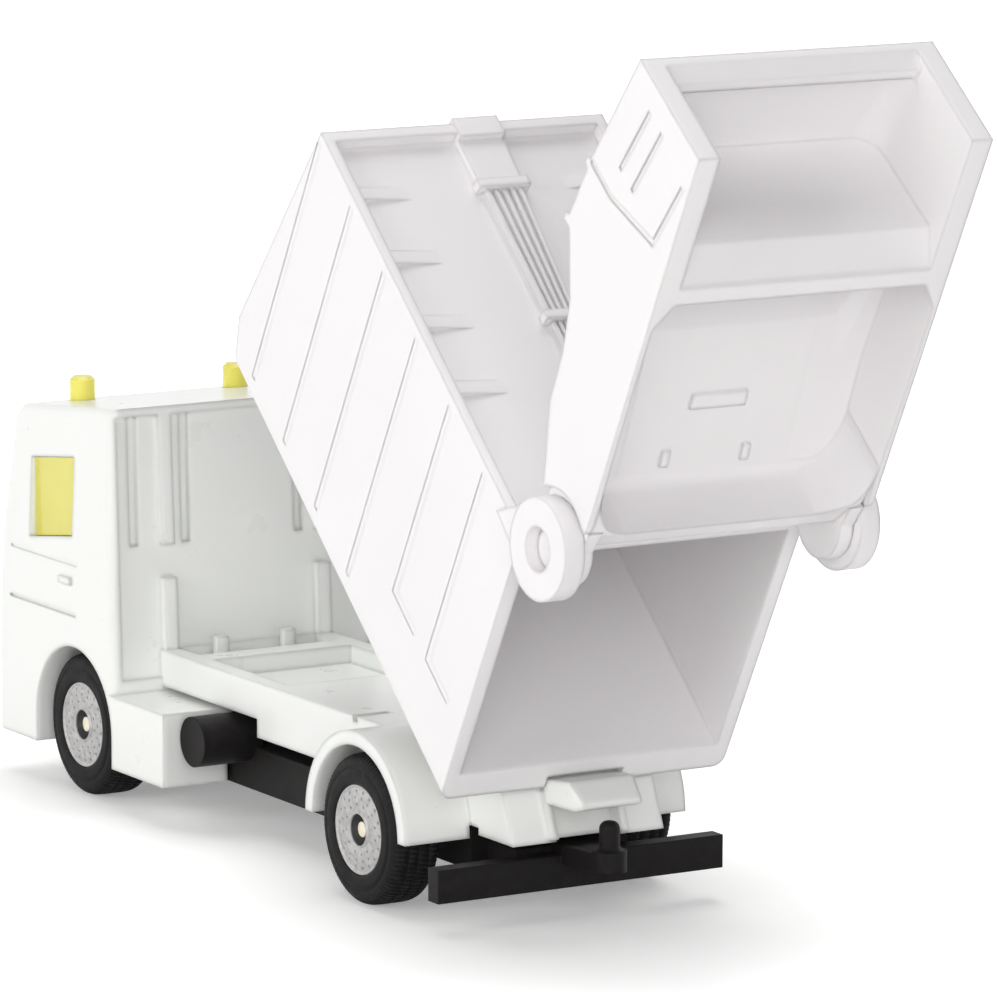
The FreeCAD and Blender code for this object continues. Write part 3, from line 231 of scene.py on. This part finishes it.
def material_of(row):
    look = Look(row["name"], row["base"], row["base_roughness"], row["settings"])
    blend = look.ramp(look.noise(*row["tint_noise"]), row["tint_span"], 0.0, 1.0)
    colour = look.mix(blend, *row["tints"])
    if "wear" in row:
        colour = look.worn(colour, **row["wear"])
    # painted shade in the dents and the hub hole, where the mesh marks it
    if "dots" in row:
        colour = look.paint_dent_shade(colour, **row["dots"])
    look.links.new(colour, look.surface.inputs["Base Color"])
    roughness = look.ramp(look.noise(*row["roughness_noise"]), ROUGHNESS_SPAN, *row["roughness"])
    look.links.new(roughness, look.surface.inputs["Roughness"])
    look.bumps(look.noise(*row["bump_noise"]), row["bump_strength"], row["rounding"])
    return look.material


MATERIALS = {slot: material_of(row) for slot, row in LOOKS.items()}
SLOT_OF = {row["node"]: row["material_slot"] for row in frame["record"]["subparts"]}
for node_name, node in NODES.items():
    node.data.materials.clear()
    node.data.materials.append(MATERIALS[SLOT_OF[node_name]])


# ---------------------------------------------------------------- pieces


def mesh_of(name, shape):
    """The shape as a mesh with its faces turned outwards."""
    bmesh.ops.recalc_face_normals(shape, faces=shape.faces)
    mesh = bpy.data.meshes.new(name)
    shape.to_mesh(mesh)
    shape.free()
    return mesh


def placed(name, mesh):
    piece = bpy.data.objects.new(name, mesh)
    bpy.context.scene.collection.objects.link(piece)
    return piece


def finish_mesh(name, shape, slot, body, nodes, marks=None, smooth=True):
    """Makes a piece of the shape; marks is the dots attribute of painted shade, one value a corner."""
    mesh = mesh_of(name, shape)
    if marks:
        layer = mesh.attributes.new("dots", "FLOAT", "POINT")
        layer.data.foreach_set("value", marks)
    for face in mesh.polygons:
        face.use_smooth = smooth
    mesh.materials.append(MATERIALS[slot])
    piece = placed(name, mesh)
    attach(piece, body)
    if nodes:
        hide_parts(*nodes)


def turned(shape, rings, loops, point):
    """Faces all round an axle and round a closed section; point gives each corner."""
    grid = [[shape.verts.new(point(i, j)) for j in range(loops)] for i in range(rings)]
    for i in range(rings):
        row, after = grid[i], grid[(i + 1) % rings]
        for j in range(loops):
            k = (j + 1) % loops
            shape.faces.new((row[j], row[k], after[k], after[j]))


# each wheel: end, side, sign of x, outer face, and the axle's y and z, in mm
WHEELS = []
for end in ("front", "rear"):
    for side, sign in (("left", 1), ("right", -1)):
        low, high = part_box("%s_%s_tyre" % (end, side))
        face = (high.x if sign > 0 else low.x) / MM
        WHEELS.append((end, side, sign, face * sign, (low.y + high.y) / 2 / MM, (low.z + high.z) / 2 / MM))

TYRE_AROUND = 450
LUGS = 90
LUG_SKEW = 0.5
MIDDLE_ROWS = (1.3, 3.1)
INNER_HALF_FROM = 2.1
GAP_SHARE = 0.3
GAP_DEPTH = 0.13
# tyre section: (distance inboard of the outer face, radius, tread share)
SECTION = (
    (0.16, 3.50, 0), (0.05, 3.62, 0), (0.0, 3.85, 0), (0.02, 4.25, 0), (0.0, 4.62, 0), (0.07, 4.68, 0),
    (0.07, 4.78, 0), (0.03, 4.9, 0), (0.12, 5.25, 0), (0.3, 5.58, 0.35), (0.5, 5.76, 1), (0.8, 5.86, 1),
    (1.15, 5.89, 1), (1.2, 5.70, 0), (1.32, 5.70, 0), (1.37, 5.9, 1), (1.7, 5.9, 1), (2.0, 5.9, 1),
    (2.05, 5.70, 0), (2.2, 5.70, 0), (2.25, 5.9, 1), (2.6, 5.9, 1), (2.95, 5.9, 1), (3.0, 5.70, 0),
    (3.12, 5.70, 0), (3.17, 5.89, 1), (3.5, 5.86, 1), (3.8, 5.76, 1), (4.0, 5.58, 0.35), (4.18, 5.25, 0),
    (4.3, 4.8, 0), (4.3, 3.9, 0), (4.2, 3.5, 0),
)


def wheel_corner(sign, face, inboard, y, z, radius, angle):
    return Vector((sign * (face - inboard), y + radius * math.cos(angle), z + radius * math.sin(angle))) * MM


def tyre(end, side, sign, face, y, z):
    shape = bmesh.new()

    def corner(i, j):
        inboard, radius, tread = SECTION[i]
        step = j / TYRE_AROUND * LUGS
        skew = LUG_SKEW if MIDDLE_ROWS[0] < inboard < MIDDLE_ROWS[1] else 0.0
        if inboard > INNER_HALF_FROM:
            skew += LUG_SKEW
        if tread and (step + skew) % 1.0 < GAP_SHARE:
            radius -= GAP_DEPTH * tread
        return wheel_corner(sign, face, inboard, y, z, radius, 2 * math.pi * j / TYRE_AROUND)

    turned(shape, len(SECTION), TYRE_AROUND, corner)
    finish_mesh("%s_%s_tread_tyre" % (end, side), shape, "tyre_black", end + "_wheelset",
                ["%s_%s_tyre" % (end, side)])


# rim section: (distance inboard of the outer face, radius), from the tyre's bead in to the axle
RIM_EDGE = ((3.9, 3.5), (0.5, 3.5), (0.16, 3.5), (0.1, 3.46), (0.1, 3.38), (0.2, 3.3))
RIM_HUB = ((0.1, 1.36), (0.06, 1.3), (0.1, 1.24), (0.25, 1.22), (1.4, 1.22), (1.42, 1.0), (1.42, 0.6),
           (3.9, 0.6))
# the recess in the hub is marked like a dot, with painted shade
RECESS_WITHIN, RECESS_BEHIND = 1.23, 0.2
# the disc between edge and hub, in steps, slightly domed
DISC_OUTER, DISC_INNER, DISC_INSET, DISC_DOME = 3.25, 1.42, 0.24, 0.08
DISC_STEPS, DISC_AROUND = 46, 240
# rings of dots in it, dents that are also painted dark as shade: (radius, count, phase, size)
DOT_RINGS = ((3.0, 18, 0.0, 0.15), (2.5, 16, 0.5, 0.13), (1.95, 12, 0.0, 0.13))
DOTS_FROM, DOTS_TO, DOTS_BEFORE, DOT_DEPTH = 1.45, 3.2, 0.5, 0.15
DOT_TURN = {"front": 0.1, "rear": 0.35}


def rim(end, side, sign, face, y, z):
    shape = bmesh.new()
    disc = []
    for k in range(DISC_STEPS + 1):
        share = k / DISC_STEPS
        radius = DISC_OUTER + (DISC_INNER - DISC_OUTER) * share
        disc.append((DISC_INSET - DISC_DOME * math.sin(math.pi * share), radius))
    section = list(RIM_EDGE) + disc + list(RIM_HUB)
    marks = []

    def corner(i, j):
        inboard, radius = section[i]
        angle = 2 * math.pi * j / DISC_AROUND
        # painted shade: full in the hub hole
        marks.append(1.0 if radius < RECESS_WITHIN and inboard > RECESS_BEHIND else 0.0)
        if DOTS_FROM < radius < DOTS_TO and inboard < DOTS_BEFORE:
            for ring, count, phase, size in DOT_RINGS:
                across = abs(radius - ring)
                if across > size:
                    continue
                step = (angle + DOT_TURN[end]) / (2 * math.pi) * count + phase
                along = abs(step - round(step)) * 2 * math.pi * ring / count
                away = math.hypot(across, along) / size
                if away < 1:
                    inboard += DOT_DEPTH * (1 - away ** 3)
                    # painted shade in the dent, darkest in its middle
                    marks[-1] = 1 - away ** 2
        return wheel_corner(sign, face, inboard, y, z, radius, angle)

    turned(shape, len(section), DISC_AROUND, corner)
    finish_mesh("%s_%s_dotted_rim" % (end, side), shape, "silver_plastic", end + "_wheelset",
                ["%s_%s_rim" % (end, side)], marks)


for wheel in WHEELS:
    tyre(*wheel)
    rim(*wheel)

# The tailgate moulding: thin walls beside its upper room, the wedge under its shelf, slanting facets
# beside the shelf, rounded end corners and a shorter lip. Corners are in mm on the shut gate with the
# container down: x, run forwards along the container and rise square to its floor. GATE_TURN swings them
# up to the pose at rest.
GATE_PIN = Vector((0, 34.317, 32.18))
GATE_TURN = math.radians(138.68)
LUG_RUN, LUG_RISE = 2.8, 26.4
# outlines of the wedge and of what is cut off the lip (run, rise), and half their widths
SHELF_WEDGE = ((0.05, 2.02), (-2.3, -0.66), (-11.85, 0.0), (-11.85, 0.6), (-3.4, 1.6), (-0.1, 2.5))
WEDGE_HALF = 10.8
LIP_END = ((-10.7, -7.12), (-9.35, -6.48), (-8.5, -6.4), (-8.5, -9.8), (-10.7, -9.8))
LIP_HALF = 10.72
# what thins a side wall: (rise, run of its back, outer x), from a slant beside the shelf to the lug
POCKET_SECTIONS = ((2.93, -10.92, 10.75), (4.9, -9.63, 12.05), (10.95, -4.13, 12.05), (22.4, -0.11, 11.95))
POCKET_INNER, POCKET_DEPTH = 7.3, 14
# the facet between shelf, back panel and side wall (x, run, rise)
GUSSET = ((8.7, -10.95, 2.5), (8.7, -9.8, 4.7), (8.7, -4.25, 10.95), (9.4, -2.7, 15.4), (12.15, -2.7, 15.4),
          (12.15, -5.6, 2.5), (12.15, -10.95, 2.5))
# the round between end wall and side wall
CORNER_RADIUS, CORNER_HALF, CORNER_END, CORNER_STEPS = 4.6, 11.95, 23.3, 10
CORNER_BACK_RUN, CORNER_RIM_INSET = -1.6, 0.02
# the rim's line: it leans, and turns in at the end wall
RIM_LEAN, RIM_START = 0.255, 0.45
RIM_TURN_RUN, RIM_TURN_LEAN, RIM_TURN_RISE = 5.11, 0.326, 21.8
SAME_PLACE = 1e-6


def on_gate(x, run, rise):
    away, above_pin = LUG_RUN - run, rise - LUG_RISE
    y = away * math.cos(GATE_TURN) - above_pin * math.sin(GATE_TURN)
    z = away * math.sin(GATE_TURN) + above_pin * math.cos(GATE_TURN)
    return (GATE_PIN + Vector((x, y, z))) * MM


def lofted(sections):
    """A closed mesh through sections of equal corner count."""
    shape = bmesh.new()
    rows = [[shape.verts.new(corner) for corner in section] for section in sections]
    count = len(rows[0])
    for low_row, high_row in zip(rows, rows[1:]):
        for k in range(count):
            shape.faces.new((low_row[k], low_row[(k + 1) % count], high_row[(k + 1) % count], high_row[k]))
    shape.faces.new(rows[0])
    shape.faces.new(rows[-1])
    return mesh_of("loft", shape)


def slab(profile, half):
    return lofted([[on_gate(x, run, rise) for run, rise in profile] for x in (-half, half)])


def wall_pocket(sign):
    """Thins a side wall beside the upper room."""
    sections = []
    for rise, back, outer in POCKET_SECTIONS:
        front = back + POCKET_DEPTH
        corners = ((POCKET_INNER, back), (outer, back), (outer, front), (POCKET_INNER, front))
        sections.append([on_gate(sign * x, run, rise) for x, run in corners])
    return lofted(sections)


def gusset(sign):
    """The slanting facet, as the hull of its corners."""
    shape = bmesh.new()
    for x, run, rise in GUSSET:
        shape.verts.new(on_gate(sign * x, run, rise))
    bmesh.ops.convex_hull(shape, input=shape.verts)
    return mesh_of("hull", shape)


def rim_run(rise):
    return min(RIM_LEAN * rise - RIM_START, RIM_TURN_RUN - RIM_TURN_LEAN * (rise - RIM_TURN_RISE))


def corner_filler(sign):
    """The round between the end wall and a side wall of the upper room."""
    arc_start = CORNER_END - CORNER_RADIUS
    arc = [(CORNER_HALF, CORNER_END), (CORNER_HALF, arc_start)]
    for k in range(1, CORNER_STEPS + 1):
        angle = math.pi / 2 * k / CORNER_STEPS
        arc.append((CORNER_HALF - CORNER_RADIUS * (1 - math.cos(angle)),
                    arc_start + CORNER_RADIUS * math.sin(angle)))
    back_end = [on_gate(sign * x, CORNER_BACK_RUN, rise) for x, rise in arc]
    rim_end = [on_gate(sign * x, rim_run(rise) - CORNER_RIM_INSET, rise) for x, rise in arc]
    return lofted([back_end, rim_end])


def cut_and_joined(name, node_name, steps):
    """A copy of a node's form with further solids cut from it or joined to it."""
    mesh = NODES[node_name].data.copy()
    mesh.name = name
    clean = bmesh.new()
    clean.from_mesh(mesh)
    bmesh.ops.remove_doubles(clean, verts=clean.verts, dist=SAME_PLACE)
    clean.to_mesh(mesh)
    clean.free()
    piece = placed(name, mesh)
    for kind, tool_mesh in steps:
        tool = placed("tool", tool_mesh)
        modifier = piece.modifiers.new("step", "BOOLEAN")
        modifier.operation = kind
        modifier.solver = "EXACT"
        modifier.object = tool
        bpy.context.view_layer.update()
        made = piece.evaluated_get(bpy.context.evaluated_depsgraph_get())
        result = bpy.data.meshes.new_from_object(made)
        piece.modifiers.clear()
        piece.data = result
        bpy.data.objects.remove(tool)
    for face in piece.data.polygons:
        face.use_smooth = False
    piece.data.materials.clear()
    piece.data.materials.append(MATERIALS[SLOT_OF[node_name]])
    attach(piece, node_name)
    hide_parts(node_name)


steps = [("UNION", slab(SHELF_WEDGE, WEDGE_HALF)), ("DIFFERENCE", slab(LIP_END, LIP_HALF))]
for sign in (1, -1):
    steps.append(("DIFFERENCE", wall_pocket(sign)))
    steps.append(("UNION", gusset(sign)))
    steps.append(("UNION", corner_filler(sign)))
cut_and_joined("tailgate_moulding", "tailgate", steps)

# Relief on the cab's front, in front of a face that leans back higher up: two lamps, grille bars and a seam
FRONT_FACE, LEAN_FROM, LEAN_SHARE = -53.593, 13.0, 0.0527
LAMP_NEAR, LAMP_FAR, LAMP_LOW, LAMP_HIGH, LAMP_PROUD = 7.6, 11.2, 8.3, 11.3, 0.14
LENS_INSET, LENS_PROUD = 0.45, 0.32
GRILLE_HALF, GRILLE_LOW, GRILLE_STEP, GRILLE_BAR, GRILLE_BARS, GRILLE_PROUD = 6.2, 8.3, 0.78, 0.36, 4, 0.22
SEAM_HALF, SEAM_LOW, SEAM_HIGH, SEAM_PROUD = 10.9, 14.4, 14.75, 0.1
RELIEF_SUNK, RELIEF_ROUND = 0.3, 0.06


def raised_slab(shape, near, far, low, high, proud):
    """A slab that stands a little out of the cab's front face."""
    rows = []
    for out in (proud, -RELIEF_SUNK):
        for z in (low, high):
            y = FRONT_FACE + LEAN_SHARE * max(0.0, z - LEAN_FROM) - out
            rows.append([shape.verts.new(Vector((x, y, z)) * MM) for x in (near, far)])
    (a, b), (c, d), (e, f), (g, h) = rows
    for face in ((a, b, d, c), (e, g, h, f), (a, c, g, e), (b, f, h, d), (a, e, f, b), (c, d, h, g)):
        shape.faces.new(face)


relief = bmesh.new()
for sign in (1, -1):
    raised_slab(relief, sign * LAMP_NEAR, sign * LAMP_FAR, LAMP_LOW, LAMP_HIGH, LAMP_PROUD)
    raised_slab(relief, sign * (LAMP_NEAR + LENS_INSET), sign * (LAMP_FAR - LENS_INSET),
                LAMP_LOW + LENS_INSET, LAMP_HIGH - LENS_INSET, LENS_PROUD)
for k in range(GRILLE_BARS):
    low = GRILLE_LOW + GRILLE_STEP * k
    raised_slab(relief, -GRILLE_HALF, GRILLE_HALF, low, low + GRILLE_BAR, GRILLE_PROUD)
raised_slab(relief, -SEAM_HALF, SEAM_HALF, SEAM_LOW, SEAM_HIGH, SEAM_PROUD)
bmesh.ops.bevel(relief, geom=list(relief.edges), offset=RELIEF_ROUND * MM, segments=2, affect="EDGES")
finish_mesh("cab_front_relief", relief, "painted_casting", "chassis", [], smooth=False)

# ---------------------------------------------------------------- floor, light and camera

FLOOR_REACH = 3.0
FLOOR_WHITE = (0.90, 0.895, 0.89)
FLOOR_GRAIN, FLOOR_GRAIN_SHADE = 120.0, 0.985
FLOOR_ROUGHNESS, FLOOR_SPECULAR = 0.6, 0.2
# The floor glows a little where it is seen, to be white there and still show the shadow. The glow grows
# with the distance in metres from a box under the toy, given by its middle and half its size, and again
# far from it, so the floor round the toy is painted darker: a painted shadow about it.
TOY_MIDDLE, TOY_HALF = (0, -0.014, 0), (0.012, 0.038, 0)
NEAR_SPAN, FLOOR_LIFT, FAR_LIFT = (0.0, 0.035), 0.27, 0.7
FAR_SPAN, HORIZON_LIFT = (0.1, 0.8), 0.4


def distance_from_toy(look):
    beyond = look.place
    to_middle = tuple(-amount for amount in TOY_MIDDLE)
    steps = (("ADD", to_middle), ("ABSOLUTE", None), ("SUBTRACT", TOY_HALF), ("MAXIMUM", (0, 0, 0)))
    for operation, amount in steps:
        step = look.nodes.new("ShaderNodeVectorMath")
        step.operation = operation
        look.links.new(beyond, step.inputs[0])
        if amount is not None:
            step.inputs[1].default_value = amount
        beyond = step.outputs["Vector"]
    away = look.nodes.new("ShaderNodeVectorMath")
    away.operation = "LENGTH"
    look.links.new(beyond, away.inputs[0])
    return away.outputs["Value"]


def floor_material():
    look = Look("pale_floor", FLOOR_WHITE, FLOOR_ROUGHNESS, {"Specular IOR Level": FLOOR_SPECULAR})
    grain = look.nodes.new("ShaderNodeTexNoise")
    grain.inputs["Scale"].default_value = FLOOR_GRAIN
    darker = tuple(part * FLOOR_GRAIN_SHADE for part in FLOOR_WHITE)
    look.links.new(look.mix(grain.outputs["Fac"], darker, FLOOR_WHITE), look.surface.inputs["Base Color"])
    away = distance_from_toy(look)
    # less glow near the toy: painted shade on the floor round it
    lift = look.maths("ADD", look.ramp(away, NEAR_SPAN, FLOOR_LIFT, FAR_LIFT, smooth=True),
                      look.ramp(away, FAR_SPAN, 0.0, HORIZON_LIFT, smooth=True))
    glow = look.nodes.new("ShaderNodeEmission")
    look.links.new(look.maths("MULTIPLY", look.seen(), lift), glow.inputs["Strength"])
    both = look.nodes.new("ShaderNodeAddShader")
    look.links.new(look.surface.outputs[0], both.inputs[0])
    look.links.new(glow.outputs[0], both.inputs[1])
    look.links.new(both.outputs[0], look.nodes["Material Output"].inputs["Surface"])
    return look.material


floor_mesh = bpy.data.meshes.new("floor")
corners = [(x * FLOOR_REACH, y * FLOOR_REACH, 0) for x, y in ((-1, -1), (1, -1), (1, 1), (-1, 1))]
floor_mesh.from_pydata(corners, [], [(0, 1, 2, 3)])
floor_mesh.materials.append(floor_material())
floor = placed("floor", floor_mesh)
floor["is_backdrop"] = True

AMBIENT_COLOUR, AMBIENT_STRENGTH = (1.0, 0.995, 1.0, 1), 0.03

# the world is plain white where it is seen and a faint light elsewhere
world = bpy.data.worlds.new("studio")
bpy.context.scene.world = world
world.use_nodes = True
sky = Graph(world.node_tree)
ambient = sky.nodes["Background"]
ambient.inputs["Color"].default_value = AMBIENT_COLOUR
ambient.inputs["Strength"].default_value = AMBIENT_STRENGTH
plain = sky.nodes.new("ShaderNodeBackground")
plain.inputs["Color"].default_value = (1, 1, 1, 1)
plain.inputs["Strength"].default_value = 1.0
blend = sky.nodes.new("ShaderNodeMixShader")
sky.links.new(sky.seen(), blend.inputs[0])
sky.links.new(ambient.outputs[0], blend.inputs[1])
sky.links.new(plain.outputs[0], blend.inputs[2])
sky.links.new(blend.outputs[0], sky.nodes["World Output"].inputs["Surface"])

# lamps: name, place in metres, size, watts, colour
LAMPS = (
    ("left", (0.75, 0.10, 0.28), 0.5, 2.6, (1.0, 0.998, 0.99)),
    ("front", (0.55, -0.65, 0.3), 0.6, 1.3, (1, 1, 1)),
    ("top", (-0.1, -0.2, 0.9), 0.8, 4.8, (1, 1, 1)),
    ("behind", (0.5, 0.8, 0.3), 0.6, 2.3, (1.0, 0.99, 0.99)),
    ("low", (0.2, 0.7, 0.09), 0.5, 1.2, (1.0, 0.985, 0.985)),
    ("fill", (-0.4, 0.8, 0.35), 0.7, 0.6, (0.985, 0.985, 1.0)),
    ("right", (-0.75, -0.15, 0.3), 0.6, 1.0, (1, 1, 1)),
)
LAMP_AIM = Vector((0, 0, 0.03))

for name, place, size, watts, colour in LAMPS:
    data = bpy.data.lights.new(name, "AREA")
    data.shape = "DISK"
    data.size = size
    data.energy = watts
    data.color = colour
    light = placed(name, data)
    light.location = place
    light.rotation_mode = "QUATERNION"
    light.rotation_quaternion = (LAMP_AIM - Vector(place)).to_track_quat("-Z", "Y")

# the camera that fits the photograph: angles in degrees, distance and aim in mm, focal length as a share
# of the sensor's width
AZIMUTH, ELEVATION, ROLL = 149.26, 9.64, 0.14
DISTANCE, FOCAL_SHARE = 531.26, 6.93009
AIM = Vector((5.1, 6.307, 31.31))
PIXEL_SHIFT = (0.05623, -0.00462)
SENSOR = 36.0
CLIP = (0.01, 20.0)
around, above = math.radians(AZIMUTH), math.radians(ELEVATION)
back = Vector((math.sin(around) * math.cos(above), -math.cos(around) * math.cos(above), math.sin(above)))
right = (-back).cross(Vector((0, 0, 1))).normalized()
up = right.cross(-back)
tilt = math.radians(ROLL)
right, up = right * math.cos(tilt) + up * math.sin(tilt), up * math.cos(tilt) - right * math.sin(tilt)
place = (AIM + back * DISTANCE) * MM
camera_data = bpy.data.cameras.new("camera")
camera = placed("camera", camera_data)
camera.matrix_world = Matrix((
    (right.x, up.x, back.x, place.x),
    (right.y, up.y, back.y, place.y),
    (right.z, up.z, back.z, place.z),
    (0, 0, 0, 1),
))
camera_data.sensor_width = SENSOR
camera_data.lens = SENSOR * FOCAL_SHARE
camera_data.shift_x, camera_data.shift_y = PIXEL_SHIFT
camera_data.clip_start, camera_data.clip_end = CLIP
bpy.context.scene.camera = camera

bpy.context.scene.view_settings.view_transform = "Standard"

low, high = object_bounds()
